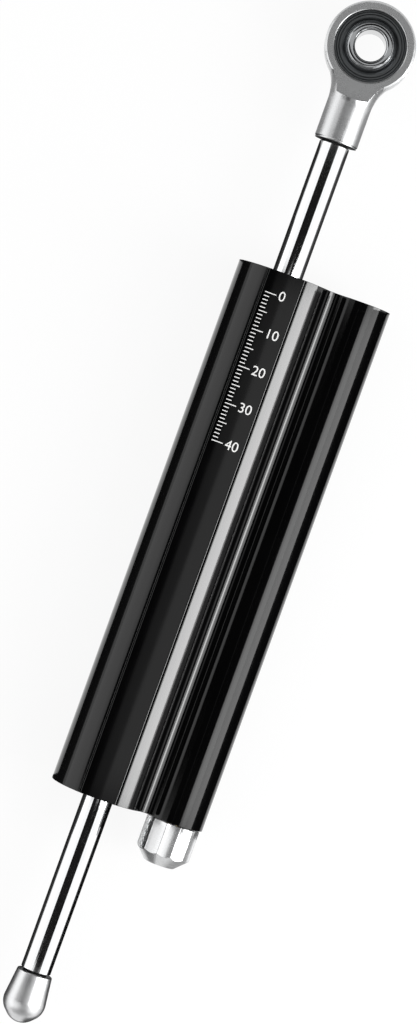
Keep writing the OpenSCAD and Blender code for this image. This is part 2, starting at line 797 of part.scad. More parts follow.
// The rod end: a turned shank and an eye, milled flat on both sides around the eye's centre
module rod_end() {
    color(silver) difference() {
        union() {
            at_eye() rotate_extrude() polygon([
                [0, -eye_t / 2], [eye_r - eye_break, -eye_t / 2], [eye_r, eye_break - eye_t / 2],
                [eye_r, eye_t / 2 - eye_break], [eye_r - eye_break, eye_t / 2], [0, eye_t / 2]
            ]);
            at_shank() rotate_extrude() shank_section();
        }
        for (side = [0, 180])
            at_eye() rotate([side, 0, 0]) {
                translate([0, 0, eye_t / 2]) cylinder(d = face_d, h = eye_r);
                translate([0, 0, eye_t / 2]) rotate([180, 0, 0]) mouth_cut(race_r, eye_break / 2);
            }
        at_eye() cylinder(r = race_r, h = eye_t + over, center = true);
        at_shank() translate([0, 0, shank_len - rod_socket]) cylinder(r = stud_r + slip, h = rod_socket + over);
    }
}

module bearing_race() {
    mouth_r = sqrt((ball_r + run)^2 - (race_t / 2 - race_break)^2);
    color(rubber) at_eye() difference() {
        cylinder(r = race_r - slip, h = race_t, center = true);
        sphere(r = ball_r + run);
        for (side = [0, 180])
            rotate([side, 0, 0]) translate([0, 0, race_t / 2]) rotate([180, 0, 0]) mouth_cut(mouth_r, race_break);
    }
}

module bearing_ball() {
    color(chrome) at_eye() difference() {
        intersection() {
            sphere(r = ball_r);
            cylinder(r = ball_d, h = ball_w, center = true);
        }
        cylinder(d = eye_bore, h = ball_w + over, center = true);
        for (side = [0, 180])
            rotate([side, 0, 0]) translate([0, 0, ball_w / 2]) rotate([180, 0, 0]) mouth_cut(eye_bore / 2, bore_break);
    }
}

// The cap: a tapered flank, a round shoulder, a short cone and a round nose
module end_cap() {
    flank_r = shoulder_x + cap_shoulder_r * cos(flank_angle);
    flank_z = cap_widest + cap_shoulder_r * sin(flank_angle);
    nose_tangent = nose_r * cos(45);
    color(silver) translate([0, cap_y, 0]) rotate([90, 0, 0]) difference() {
        rotate_extrude() {
            polygon([
                [0, 0], [cap_mouth_d / 2, 0], [flank_r, flank_z], [shoulder_x, cap_widest], [cone_r, cone_z],
                [nose_tangent, nose_z + nose_tangent], [0, nose_z + nose_tangent]
            ]);
            intersection() {
                translate([shoulder_x, cap_widest]) circle(r = cap_shoulder_r);
                band_section(0, cap_d, 0, cone_z);
            }
            intersection() {
                translate([0, nose_z]) circle(r = nose_r);
                band_section(0, cap_d, nose_z + nose_tangent, cap_len + over);
            }
        }
        translate([0, 0, -over]) cylinder(r = stud_r + slip, h = cap_socket + over);
    }
}

echo(compensator_spring_gap = coil_gap(coil_points(spring_r, spring_wire, spring_turns, spring_len), spring_wire));
echo(detent_spring_gap = coil_gap(
    coil_points(detent_spring_r, detent_wire, detent_turns, detent_spring_len), detent_wire
));

housing();
gland(top);  // top_gland
gland(bottom);  // bottom_gland
gland_circlip(top);  // top_gland_circlip
gland_circlip(bottom);  // bottom_gland_circlip
guide_bush(top);  // top_guide_bush
guide_bush(bottom);  // bottom_guide_bush
rod_seal(top);  // top_rod_seal
rod_seal(bottom);  // bottom_rod_seal
wiper(top);  // top_wiper
wiper(bottom);  // bottom_wiper
gland_oring(top);  // top_gland_oring
gland_oring(bottom);  // bottom_gland_oring
reservoir_plug();
plug_oring();
plug_circlip();
floating_piston();
floating_piston_oring();
compensator_spring();
adjuster_cartridge();
cartridge_oring();
shaft_oring();
stop_pin();
detent_ball();
detent_spring();
metering_drum();
knob();
knob_screw();
piston_rod();
piston();
piston_band();
shims(top);  // top_shims
shims(bottom);  // bottom_shims
piston_washer(top);  // top_piston_washer
piston_washer(bottom);  // bottom_piston_washer
snap_ring(top);  // top_snap_ring
snap_ring(bottom);  // bottom_snap_ring
rod_end();
bearing_race();
bearing_ball();
end_cap();
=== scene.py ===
import json
import math

import bmesh
import bpy
from mathutils import Matrix, Vector


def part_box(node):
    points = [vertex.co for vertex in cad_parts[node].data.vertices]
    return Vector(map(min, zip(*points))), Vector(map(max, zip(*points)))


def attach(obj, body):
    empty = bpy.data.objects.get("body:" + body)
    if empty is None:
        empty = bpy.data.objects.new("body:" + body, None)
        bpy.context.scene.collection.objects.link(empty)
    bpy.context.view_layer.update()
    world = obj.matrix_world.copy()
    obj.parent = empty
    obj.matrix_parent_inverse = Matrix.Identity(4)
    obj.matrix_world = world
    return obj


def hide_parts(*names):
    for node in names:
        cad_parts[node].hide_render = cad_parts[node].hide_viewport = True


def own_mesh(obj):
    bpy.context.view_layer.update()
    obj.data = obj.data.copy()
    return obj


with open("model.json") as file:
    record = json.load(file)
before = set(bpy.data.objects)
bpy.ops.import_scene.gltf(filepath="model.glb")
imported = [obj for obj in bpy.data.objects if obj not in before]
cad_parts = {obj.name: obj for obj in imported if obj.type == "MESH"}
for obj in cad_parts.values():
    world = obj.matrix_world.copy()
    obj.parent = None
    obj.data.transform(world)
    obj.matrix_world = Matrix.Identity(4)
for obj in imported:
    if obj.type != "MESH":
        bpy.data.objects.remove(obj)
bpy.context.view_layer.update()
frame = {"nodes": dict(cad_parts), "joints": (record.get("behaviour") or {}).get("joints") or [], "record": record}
nodes = frame["nodes"]
mounts = {m["name"]: Vector(m["pos_m"]) for m in frame["record"]["mounts"]}
scene = bpy.context.scene
scene.view_settings.view_transform = "Standard"

mm = 0.001
weld = 0.0005 * mm  # points nearer than this become one
touching = 0.001 * mm  # places nearer than this count as the same
speck = 0.01 * mm  # shorter edges are left out of the numbers
flatTurn = math.radians(0.5)  # faces that turn less than this become one
alongRod = Vector((0, 1, 0))
outOfPad = Vector((0, 0, 1))

# places that many pieces share, read from the frame
bodyLow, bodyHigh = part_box("housing")
knobLow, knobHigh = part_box("knob")
shankLow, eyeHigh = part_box("rod_end")
capLow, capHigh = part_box("end_cap")
rodLow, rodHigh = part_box("piston_rod")
tubeX = (knobLow.x + knobHigh.x) / 2
barrelRadius = -bodyLow.x
tubeRadius = bodyHigh.x - tubeX
padLevel = bodyHigh.z
eyeCentre = mounts["rod_eye"]
print("frame:", len(nodes), "nodes, body", round((bodyHigh.y - bodyLow.y) / mm, 1), "mm long")


# Shader maths: sums on a wire add Math nodes
class Wire:
    def __init__(self, finish, socket):
        self.finish = finish
        self.socket = socket

    def sum(self, operation, first, second):
        return self.finish.node("ShaderNodeMath", {"operation": operation}, {0: first, 1: second})

    def __add__(self, other):
        return self.sum("ADD", self, other)

    __radd__ = __add__

    def __rsub__(self, other):
        return self.sum("SUBTRACT", other, self)

    def __mul__(self, other):
        return self.sum("MULTIPLY", self, other)


class Finish:
    def __init__(self, name, owner=None):
        self.material = owner or bpy.data.materials.new(name)
        self.material.use_nodes = True
        self.tree = self.material.node_tree
        self.tree.nodes.clear()

    def node(self, kind, settings, values, pick=0):
        made = self.tree.nodes.new(kind)
        for name, value in settings.items():
            setattr(made, name, value)
        for name, value in values.items():
            if isinstance(value, Wire):
                self.tree.links.new(value.socket, made.inputs[name])
            else:
                made.inputs[name].default_value = value
        return Wire(self, made.outputs[pick]) if made.outputs else None

    # object coordinates, moved so that centre is the origin, and stretched
    def place(self, stretch=(1, 1, 1), centre=(0, 0, 0)):
        coords = self.node("ShaderNodeTexCoord", {}, {}, "Object")
        moved = self.node("ShaderNodeVectorMath", {"operation": "SUBTRACT"}, {0: coords, 1: tuple(centre)})
        return self.node("ShaderNodeVectorMath", {"operation": "MULTIPLY"}, {0: moved, 1: stretch})

    # distance from an axis through centre, as a line of values for a one-way pattern
    def rings(self, centre, flat, perMetre):
        spot = self.place(flat, centre)
        reach = self.node("ShaderNodeVectorMath", {"operation": "LENGTH"}, {0: spot}, "Value")
        return self.node("ShaderNodeCombineXYZ", {}, {"X": reach * perMetre})

    def noise(self, spot, scale, detail):
        values = {"Vector": spot, "Scale": scale, "Detail": detail}
        return self.node("ShaderNodeTexNoise", {}, values, "Fac")

    def speckle(self, spot, scale):
        return self.node("ShaderNodeTexVoronoi", {}, {"Vector": spot, "Scale": scale}, "Distance")

    # the mix node's inputs for colours are 6 and 7, and its output is 2
    def blend(self, share, first, second):
        values = {0: share, 6: (*first, 1.0), 7: (*second, 1.0)}
        return self.node("ShaderNodeMix", {"data_type": "RGBA"}, values, 2)

    def spread(self, value, low, high, toLow, toHigh):
        values = {"Value": value, "From Min": low, "From Max": high, "To Min": toLow, "To Max": toHigh}
        return self.node("ShaderNodeMapRange", {"clamp": True}, values)

    # roughness from smooth to coarse, over the values that noise mostly has
    def gloss(self, pattern, smooth, coarse):
        return self.spread(pattern, 0.3, 0.7, smooth, coarse)

    def bump(self, height, depth):
        values = {"Height": height, "Distance": depth, "Strength": 1.0}
        return self.node("ShaderNodeBump", {}, values, "Normal")

    # 1 for rays of any of these kinds, otherwise 0
    def rays(self, *kinds):
        return sum(self.node("ShaderNodeLightPath", {}, {}, f"Is {kind} Ray") for kind in kinds)

    def done(self, **values):
        named = {name.replace("_", " "): value for name, value in values.items()}
        shader = self.node("ShaderNodeBsdfPrincipled", {}, named)
        self.node("ShaderNodeOutputMaterial", {}, {"Surface": shader})
        return self.material


# Finishes, one function each
def blackAnodised():
    finish = Finish("blackAnodised")
    dieLines = finish.noise(finish.place((2600, 26, 2600)), 1.0, 3.0)
    cloud = finish.noise(finish.place(), 90.0, 3.0)
    tone = finish.blend(cloud, (0.0005, 0.0005, 0.0006), (0.0012, 0.0012, 0.0013))
    gloss = finish.gloss(cloud * 0.6 + dieLines * 0.4, 0.07, 0.11)
    return finish.done(
        Base_Color=tone, Roughness=gloss, IOR=1.45, Normal=finish.bump(dieLines, 0.0008 * mm)
    )


def groundChrome():
    finish = Finish("groundChrome")
    grindLines = finish.noise(finish.place((40, 5200, 40)), 1.0, 2.0)
    haze = finish.noise(finish.place(), 160.0, 2.0)
    tone = finish.blend(haze, (0.84, 0.85, 0.86), (0.90, 0.905, 0.91))
    gloss = finish.gloss(haze, 0.03, 0.06)
    return finish.done(
        Base_Color=tone, Metallic=1.0, Roughness=gloss, Normal=finish.bump(grindLines, 0.00012 * mm)
    )


# turned along the rod's axis
def turnedMetal(name, dark, light, gloss, lineDepth):
    finish = Finish(name)
    latheLines = finish.noise(finish.place((0, 7000, 0)), 1.0, 3.0)
    haze = finish.noise(finish.place(), 260.0, 3.0)
    tone = finish.blend(haze * 0.6 + latheLines * 0.4, dark, light)
    rough = finish.gloss(haze * 0.5 + latheLines * 0.5, *gloss)
    return finish.done(
        Base_Color=tone, Metallic=1.0, Roughness=rough, Normal=finish.bump(latheLines, lineDepth)
    )


# turned on its face, in rings round the eye
def ringTurnedMetal(name, dark, light, gloss, lineDepth):
    finish = Finish(name)
    faceRings = finish.noise(finish.rings(eyeCentre, (1, 1, 0), 6000), 1.0, 3.0)
    haze = finish.noise(finish.place(), 300.0, 3.0)
    tone = finish.blend(haze * 0.4 + faceRings * 0.6, dark, light)
    rough = finish.gloss(haze * 0.5 + faceRings * 0.5, *gloss)
    return finish.done(
        Base_Color=tone, Metallic=1.0, Roughness=rough, Normal=finish.bump(faceRings, lineDepth)
    )


def platedSteel():
    finish = Finish("platedSteel")
    blasted = finish.noise(finish.place(), 5200.0, 2.0)
    haze = finish.noise(finish.place(), 190.0, 3.0)
    tone = finish.blend(haze, (0.55, 0.555, 0.56), (0.64, 0.645, 0.65))
    gloss = finish.gloss(haze * 0.5 + blasted * 0.5, 0.23, 0.33)
    return finish.done(
        Base_Color=tone, Metallic=1.0, Roughness=gloss, Normal=finish.bump(blasted, 0.0011 * mm)
    )


def drawnSteel():
    finish = Finish("drawnSteel")
    oil = finish.noise(finish.place(), 420.0, 4.0)
    grain = finish.noise(finish.place(), 6500.0, 2.0)
    tone = finish.blend(oil, (0.20, 0.20, 0.21), (0.38, 0.38, 0.39))
    gloss = finish.gloss(oil, 0.22, 0.42)
    return finish.done(
        Base_Color=tone, Metallic=1.0, Roughness=gloss, Normal=finish.bump(grain, 0.001 * mm)
    )


def sinteredBronze():
    finish = Finish("sinteredBronze")
    pores = finish.speckle(finish.place(), 3600.0)
    oil = finish.noise(finish.place(), 500.0, 3.0)
    tone = finish.blend(oil, (0.36, 0.20, 0.08), (0.56, 0.36, 0.17))
    gloss = finish.spread(pores, 0.0, 0.6, 0.55, 0.32)
    return finish.done(
        Base_Color=tone, Metallic=1.0, Roughness=gloss, Normal=finish.bump(pores, 0.006 * mm)
    )


def softPolymer(name, dark, light, gloss, grainDepth):
    finish = Finish(name)
    mould = finish.noise(finish.place(), 4200.0, 3.0)
    cloud = finish.noise(finish.place(), 300.0, 3.0)
    tone = finish.blend(cloud, dark, light)
    rough = finish.gloss(mould * 0.4 + cloud * 0.6, *gloss)
    return finish.done(Base_Color=tone, Roughness=rough, Normal=finish.bump(mould, grainDepth))


def whitePrint():
    finish = Finish("whitePrint")
    ink = finish.noise(finish.place(), 3800.0, 3.0)
    tone = finish.blend(ink, (0.66, 0.66, 0.65), (0.76, 0.76, 0.75))
    gloss = finish.gloss(ink, 0.4, 0.55)
    return finish.done(Base_Color=tone, Roughness=gloss, Normal=finish.bump(ink, 0.001 * mm))


# name, dark and light tone, roughness, and depth of the fine lines or grain
turnedTones = {
    "gland_metal": ("glandMetal", (0.035, 0.035, 0.038), (0.07, 0.07, 0.075), (0.25, 0.4), 0.0008 * mm),
    "silver_metal": ("silverMetal", (0.66, 0.665, 0.67), (0.76, 0.765, 0.77), (0.31, 0.4), 0.0004 * mm),
    "brass": ("turnedBrass", (0.62, 0.44, 0.17), (0.80, 0.62, 0.30), (0.16, 0.28), 0.0006 * mm),
    "knob_metal": ("knobMetal", (0.66, 0.665, 0.67), (0.76, 0.765, 0.77), (0.22, 0.3), 0.0003 * mm),
}
ringTones = {
    "dark_race": ("darkRace", (0.10, 0.105, 0.11), (0.20, 0.21, 0.215), (0.28, 0.42), 0.0025 * mm),
    "bearing_steel": ("bearingSteel", (0.40, 0.41, 0.42), (0.50, 0.51, 0.52), (0.06, 0.12), 0.0002 * mm),
}
polymerTones = {
    "rubber": ("nitrileRubber", (0.012, 0.012, 0.012), (0.024, 0.024, 0.024), (0.5, 0.68), 0.004 * mm),
    "seal_plastic": ("sealPlastic", (0.07, 0.16, 0.12), (0.11, 0.22, 0.17), (0.35, 0.5), 0.002 * mm),
    "band_plastic": ("bandPlastic", (0.13, 0.095, 0.06), (0.19, 0.14, 0.095), (0.4, 0.55), 0.002 * mm),
}
finishes = {
    "black_anodised": blackAnodised(),
    "chrome_rod": groundChrome(),
    "plated_steel": platedSteel(),
    "spring_steel": drawnSteel(),
    "bronze": sinteredBronze(),
    "white_print": whitePrint(),
}
for make, tones in ((turnedMetal, turnedTones), (ringTurnedMetal, ringTones), (softPolymer, polymerTones)):
    for slot, values in tones.items():
        finishes[slot] = make(*values)
slotOf = {part["node"]: part["material_slot"] for part in frame["record"]["subparts"]}
bodyOf = {node: body for body, group in frame["record"]["behaviour"]["bodies"].items() for node in group}
for node, shape in nodes.items():
    shape.material_slots[0].material = finishes[slotOf[node]]
print("finishes:", len(finishes))


# Mesh helpers
def vertsOf(items):
    return [item for item in items if isinstance(item, bmesh.types.BMVert)]


def edgesOf(items):
    return [item for item in items if isinstance(item, bmesh.types.BMEdge)]


# an outline grows from one vertex by lines and arcs
def startAt(bm, spot):
    return bmesh.ops.create_vert(bm, co=spot)["vert"][0]


def lineTo(bm, vert, spot):
    made = bmesh.ops.extrude_vert_indiv(bm, verts=[vert])["verts"][0]
    made.co = spot
    return made


def arcTo(bm, vert, centre, axis, angle, steps):
    made = bmesh.ops.spin(bm, geom=[vert], cent=centre, axis=axis, angle=angle, steps=steps)
    return vertsOf(made["geom_last"])[0]


def polyline(bm, spots):
    vert = startAt(bm, spots[0])
    for spot in spots[1:]:
        vert = lineTo(bm, vert, spot)
    return vert


# adds the lower half of what is drawn so far
def mirrorDown(bm):
    drawn = bm.verts[:] + bm.edges[:]
    bmesh.ops.mirror(bm, geom=drawn, matrix=Matrix(), merge_dist=touching, axis="Z")
    bmesh.ops.remove_doubles(bm, verts=bm.verts, dist=touching)


# turns every edge drawn so far (or only those given) once round an axis
def lathe(bm, centre, axis, steps, edges=None):
    edges = edges or bm.edges[:]
    verts = list({vert for edge in edges for vert in edge.verts})
    bmesh.ops.spin(
        bm, geom=verts + edges, cent=centre, axis=axis, angle=2 * math.pi, steps=steps, use_merge=True
    )
    bmesh.ops.remove_doubles(bm, verts=bm.verts, dist=weld)


# a new ring of faces from a loop round a rod-wise axis, out or in to a radius and a level
def loopTo(bm, loop, axisX, radius, level):
    made = bmesh.ops.extrude_edge_only(bm, edges=loop)["geom"]
    for vert in vertsOf(made):
        spoke = Vector((vert.co.x - axisX, 0, vert.co.z)).normalized() * radius
        vert.co = Vector((axisX + spoke.x, level, spoke.z))
    return edgesOf(made)


# rounds every convex edge that turns more than the given degrees
def roundEdges(bm, width, segments=2, degrees=28, chosen=None):
    bmesh.ops.recalc_face_normals(bm, faces=bm.faces)
    edges = [
        edge for edge in (chosen or bm.edges)
        if edge.is_manifold and edge.is_convex and edge.calc_face_angle(0) > math.radians(degrees)
    ]
    bmesh.ops.bevel(
        bm, geom=edges, offset=width, offset_type="OFFSET", affect="EDGES", segments=segments, profile=0.5,
        material=-1, clamp_overlap=True
    )


# a finished piece that moves with the body of a CAD node
def addPiece(name, bm, node, finish, sharpAt=35):
    bmesh.ops.remove_doubles(bm, verts=bm.verts, dist=weld)
    bmesh.ops.recalc_face_normals(bm, faces=bm.faces)
    mesh = bpy.data.meshes.new(name)
    bm.to_mesh(mesh)
    bm.free()
    mesh.shade_smooth()
    mesh.set_sharp_from_angle(angle=math.radians(sharpAt))
    mesh.materials.append(finish)
    piece = bpy.data.objects.new(name, mesh)
    scene.collection.objects.link(piece)
    evenNormals = piece.modifiers.new("evenNormals", "WEIGHTED_NORMAL")
    evenNormals.keep_sharp = True
    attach(piece, bodyOf[node])
    return piece


# a finished piece that stands for the CAD node itself
def newPiece(name, bm, node, sharpAt=35, finish=None):
    piece = addPiece(name, bm, node, finish or finishes[slotOf[node]], sharpAt)
    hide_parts(node)
    return piece


# a copy of a CAD node as a mesh of whole faces
def cadCopy(node):
    bm = bmesh.new()
    bm.from_mesh(nodes[node].data)
    bmesh.ops.remove_doubles(bm, verts=bm.verts, dist=touching)
    bmesh.ops.dissolve_limit(bm, angle_limit=flatTurn, verts=bm.verts, edges=bm.edges)
    return bm


# a CAD node with its sharp corners rounded
def softened(name, node, width):
    bm = cadCopy(node)
    roundEdges(bm, width)
    return newPiece(name, bm, node)


# Camera: straight at the front pad, leaning as the photograph does
cameraView = {
    "spot": Vector((1.65, 25.7, 877)) * mm,
    "target": Vector((1.65, 7.13, 0)) * mm,
    "lean": math.radians(19.92),
    "lens": 119.6,
    "sensor": 36.0,
}
cameraData = bpy.data.cameras.new("camera")
cameraData.sensor_fit = "VERTICAL"
cameraData.sensor_height = cameraView["sensor"]
cameraData.lens = cameraView["lens"]
camera = bpy.data.objects.new("camera", cameraData)
scene.collection.objects.link(camera)
back = (cameraView["spot"] - cameraView["target"]).normalized()
right = alongRod.cross(back).normalized()
aim = Matrix((right, back.cross(right), back)).transposed().to_4x4()
lean = Matrix.Rotation(cameraView["lean"], 4, "Z")
camera.matrix_world = Matrix.Translation(cameraView["spot"]) @ aim @ lean
scene.camera = camera
print("camera:", cameraView["lens"], "mm lens")


# Housing: the extruded section, its end corners and its bores
housingShape = {
    "waistRadius": 3 * mm,
    "padHalfWidth": 4.7 * mm,
    "padCrown": 0.18 * mm,
    "grooveWidth": 0.4 * mm,
    "grooveDepth": 0.16 * mm,
    "lipRound": 0.15 * mm,
    "endRound": 0.15 * mm,
    "mouthBreak": 0.5 * mm,
    "fit": 0.03 * mm,
    "clipBite": 0.6 * mm,
    "plugClipBite": 0.5 * mm,
    "passageRadius": 4.2 * mm,
    "endPlay": 0.1 * mm,
    "arcStep": math.radians(2.5),
    "crownSteps": 12,
    "boreSteps": 96,
}


def arcSteps(angle):
    return max(2, round(abs(angle) / housingShape["arcStep"]))


def crownRadius(shape):
    return (shape["padHalfWidth"] ** 2 + shape["padCrown"] ** 2) / (2 * shape["padCrown"])


def drawHousingSection(bm, shape):
    level = bodyLow.y
    barrel = Vector((0, level, 0))
    tube = Vector((tubeX, level, 0))
    barrelReach = barrelRadius + shape["waistRadius"]
    tubeReach = tubeRadius + shape["waistRadius"]
    hollowX = (tubeX**2 + barrelReach**2 - tubeReach**2) / (2 * tubeX)
    hollowZ = math.sqrt(barrelReach**2 - hollowX**2)
    barrelTurn = math.atan2(hollowX, hollowZ)
    tubeTurn = math.atan2(tubeX - hollowX, hollowZ)
    grooveEdge = shape["padHalfWidth"] + shape["grooveWidth"]
    grooveFloor = shape["padHalfWidth"] + shape["grooveWidth"] / 2
    padAngle = math.asin(grooveEdge / barrelRadius)
    crown = crownRadius(shape)
    crownTurn = 2 * math.asin(shape["padHalfWidth"] / crown)
    padEdge = Vector((shape["padHalfWidth"], level, padLevel - shape["padCrown"]))
    grooveLevel = barrelRadius * math.cos(padAngle) - shape["grooveDepth"]

    def arc(vert, centre, angle):
        return arcTo(bm, vert, centre, alongRod, angle, arcSteps(angle))

    vert = startAt(bm, (-barrelRadius, level, 0))
    vert = arc(vert, barrel, math.pi / 2 - padAngle)
    vert = lineTo(bm, vert, (-grooveFloor, level, grooveLevel))
    vert = lineTo(bm, vert, (-padEdge.x, level, padEdge.z))
    vert = arcTo(bm, vert, (0, level, padLevel - crown), alongRod, crownTurn, shape["crownSteps"])
    vert = lineTo(bm, vert, (grooveFloor, level, grooveLevel))
    vert = lineTo(bm, vert, (grooveEdge, level, barrelRadius * math.cos(padAngle)))
    vert = arc(vert, barrel, barrelTurn - padAngle)
    vert = arc(vert, Vector((hollowX, level, hollowZ)), -(barrelTurn + tubeTurn))
    vert = arc(vert, tube, tubeTurn + math.pi / 2)
    mirrorDown(bm)


# the wall of a bore, drawn as radius and level from the eye end to the cap end
def cutBore(bm, axisX, wall):
    before = set(bm.edges)
    polyline(bm, [(axisX + radius, level, 0) for radius, level in wall])
    drawn = [edge for edge in bm.edges if edge not in before]
    lathe(bm, (axisX, 0, 0), alongRod, housingShape["boreSteps"], drawn)


def barrelWall(shape):
    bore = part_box("top_gland")[1].x + shape["fit"]
    grooveRadius = bore + shape["clipBite"]
    clipLow, clipHigh = (corner.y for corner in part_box("top_gland_circlip"))
    mouth = bore + shape["mouthBreak"]
    upper = [
        (mouth, bodyHigh.y), (bore, bodyHigh.y - shape["mouthBreak"]), (bore, clipHigh),
        (grooveRadius, clipHigh), (grooveRadius, clipLow), (bore, clipLow)
    ]
    return upper + [(radius, -level) for radius, level in reversed(upper)]


def tubeWall(shape):
    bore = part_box("reservoir_plug")[1].x - tubeX + shape["fit"]
    grooveRadius = bore + shape["plugClipBite"]
    clipLow, clipHigh = (corner.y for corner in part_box("plug_circlip"))
    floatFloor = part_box("floating_piston")[0].y - shape["endPlay"]
    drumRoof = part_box("metering_drum")[1].y + shape["endPlay"]
    mouth = bore + shape["mouthBreak"]
    return [
        (mouth, bodyHigh.y), (bore, bodyHigh.y - shape["mouthBreak"]), (bore, clipHigh),
        (grooveRadius, clipHigh), (grooveRadius, clipLow), (bore, clipLow), (bore, floatFloor),
        (shape["passageRadius"], floatFloor), (shape["passageRadius"], drumRoof), (bore, drumRoof),
        (bore, bodyLow.y + shape["mouthBreak"]), (mouth, bodyLow.y)
    ]


# the ends are the only faces with more corners than a rounded edge leaves on a strip
def endFaces(bm):
    return [face for face in bm.faces if len(face.verts) > 8]


def makeHousing(shape):
    bm = bmesh.new()
    drawHousingSection(bm, shape)
    section = bmesh.ops.contextual_create(bm, geom=bm.edges[:])["faces"][0]
    raised = bmesh.ops.extrude_face_region(bm, geom=[section])["geom"]
    bmesh.ops.translate(bm, verts=vertsOf(raised), vec=alongRod * (bodyHigh.y - bodyLow.y))
    lengthwise = [edge for edge in bm.edges if abs(edge.verts[0].co.y - edge.verts[1].co.y) > mm]
    roundEdges(bm, shape["lipRound"], segments=3, degrees=40, chosen=lengthwise)
    endEdges = {edge for face in endFaces(bm) for edge in face.edges}
    roundEdges(bm, shape["endRound"], segments=3, degrees=60, chosen=endEdges)
    bmesh.ops.delete(bm, geom=endFaces(bm), context="FACES_ONLY")
    cutBore(bm, 0, barrelWall(shape))
    cutBore(bm, tubeX, tubeWall(shape))
    for level in (bodyLow.y, bodyHigh.y):
        openEdges = [edge for edge in bm.edges if edge.is_boundary]
        rims = [edge for edge in openEdges if abs(edge.verts[0].co.y - level) < touching]
        bmesh.ops.triangle_fill(bm, edges=rims, use_beauty=True)
    piece = newPiece("dressedHousing", bm, "housing")
    # sharp rims keep the rounding's shading off the flat ends
    for edge in piece.data.edges:
        reach = [abs(piece.data.vertices[index].co.y) for index in edge.vertices]
        edge.use_edge_sharp = edge.use_edge_sharp or min(reach) > bodyHigh.y - touching
    return piece


housing = makeHousing(housingShape)
print("housing:", len(housing.data.polygons), "faces")


# Printed scale on the front pad: plain ticks and numbers, a hair proud of the crown
scaleShape = {
    "startBelowEnd": 6 * mm,
    "marks": 41,
    "pitch": 1 * mm,
    "left": -3.9 * mm,
    "tickLengths": {10: 3.0 * mm, 5: 2.2 * mm, 1: 1.4 * mm},
    "tickWidth": 0.24 * mm,
    "tickSegments": 6,
    "numberEvery": 10,
    "numberSize": 3.6 * mm,
    "numberLeft": -0.3 * mm,
    "lift": 0.03 * mm,
    "depth": 0.06 * mm,
}


def drawTick(bm, left, level, length, width):
    middle = Matrix.Translation((left + length / 2, level, 0))
    place = middle @ Matrix.Diagonal((length / 2, width / 2, 1, 1))
    segments = scaleShape["tickSegments"]
    bmesh.ops.create_grid(bm, x_segments=segments, y_segments=1, size=1, matrix=place)


def drawNumber(bm, number, left, level, size):
    curve = bpy.data.curves.new("number", "FONT")
    curve.body = str(number)
    curve.size = size
    curve.align_y = "CENTER"
    holder = bpy.data.objects.new("number", curve)
    scene.collection.objects.link(holder)
    flat = bpy.data.meshes.new_from_object(holder.evaluated_get(bpy.context.evaluated_depsgraph_get()))
    bpy.data.objects.remove(holder)
    before = set(bm.verts)
    bm.from_mesh(flat)
    drawn = [vert for vert in bm.verts if vert not in before]
    bmesh.ops.translate(bm, verts=drawn, vec=(left, level, 0))
    drawnEdges = {edge for vert in drawn for edge in vert.link_edges}
    bmesh.ops.dissolve_degenerate(bm, edges=list(drawnEdges), dist=speck)
    bpy.data.meshes.remove(flat)


def makeScale(shape):
    bm = bmesh.new()
    for mark in range(shape["marks"]):
        level = bodyHigh.y - shape["startBelowEnd"] - mark * shape["pitch"]
        length = next(size for step, size in shape["tickLengths"].items() if mark % step == 0)
        drawTick(bm, shape["left"], level, length, shape["tickWidth"])
        if mark % shape["numberEvery"] == 0:
            drawNumber(bm, mark, shape["numberLeft"], level, shape["numberSize"])
    crown = crownRadius(housingShape)
    for vert in bm.verts:
        vert.co.z = padLevel - crown + math.sqrt(crown**2 - vert.co.x**2) + shape["lift"]
    sunk = bmesh.ops.extrude_face_region(bm, geom=bm.faces[:])["geom"]
    bmesh.ops.translate(bm, verts=vertsOf(sunk), vec=outOfPad * -shape["depth"])
    return addPiece("padScale", bm, "housing", finishes["white_print"])


makeScale(scaleShape)
print("scale:", scaleShape["marks"], "marks")


# Rod, with a stud at each end and a groove for each snap ring
rodShape = {
    "studRadius": 3 * mm,
    "studBreak": 0.6 * mm,
    "shoulderBreak": 0.7 * mm,
    "grooveDepth": 0.4 * mm,
    "fit": 0.02 * mm,
    "steps": 96,
}


def makeRod(shape):
    radius = rodHigh.x
    stud = shape["studRadius"]
    cut = shape["studBreak"]
    lip = shape["shoulderBreak"]
    lowShoulder = capHigh.y + shape["fit"]
    highShoulder = shankLow.y - shape["fit"]
    spots = [
        (0, rodLow.y), (stud - cut, rodLow.y), (stud, rodLow.y + cut), (stud, lowShoulder),
        (radius - lip, lowShoulder), (radius, lowShoulder + lip)
    ]
    for ring in ("bottom_snap_ring", "top_snap_ring"):
        ringLow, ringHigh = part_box(ring)
        floor = radius - shape["grooveDepth"]
        low, high = ringLow.y - shape["fit"], ringHigh.y + shape["fit"]
        spots += [(radius, low), (floor, low), (floor, high), (radius, high)]
    spots += [
        (radius, highShoulder - lip), (radius - lip, highShoulder), (stud, highShoulder),
        (stud, rodHigh.y - cut), (stud - cut, rodHigh.y), (0, rodHigh.y)
    ]
    bm = bmesh.new()
    polyline(bm, [(across, level, 0) for across, level in spots])
    lathe(bm, (0, 0, 0), alongRod, shape["steps"])
    return newPiece("chromeRod", bm, "piston_rod")


makeRod(rodShape)


# End cap: tapered flank, round shoulder, short cone and round nose
capShape = {
    "mouthRadius": 4.7 * mm,
    "mouthRound": 0.25 * mm,
    "noseLength": 5.65 * mm,
    "shoulderRadius": 4.85 * mm,
    "socketRadius": 3.03 * mm,
    "socketDepth": 8.5 * mm,
    "arcSteps": 12,
    "steps": 96,
}


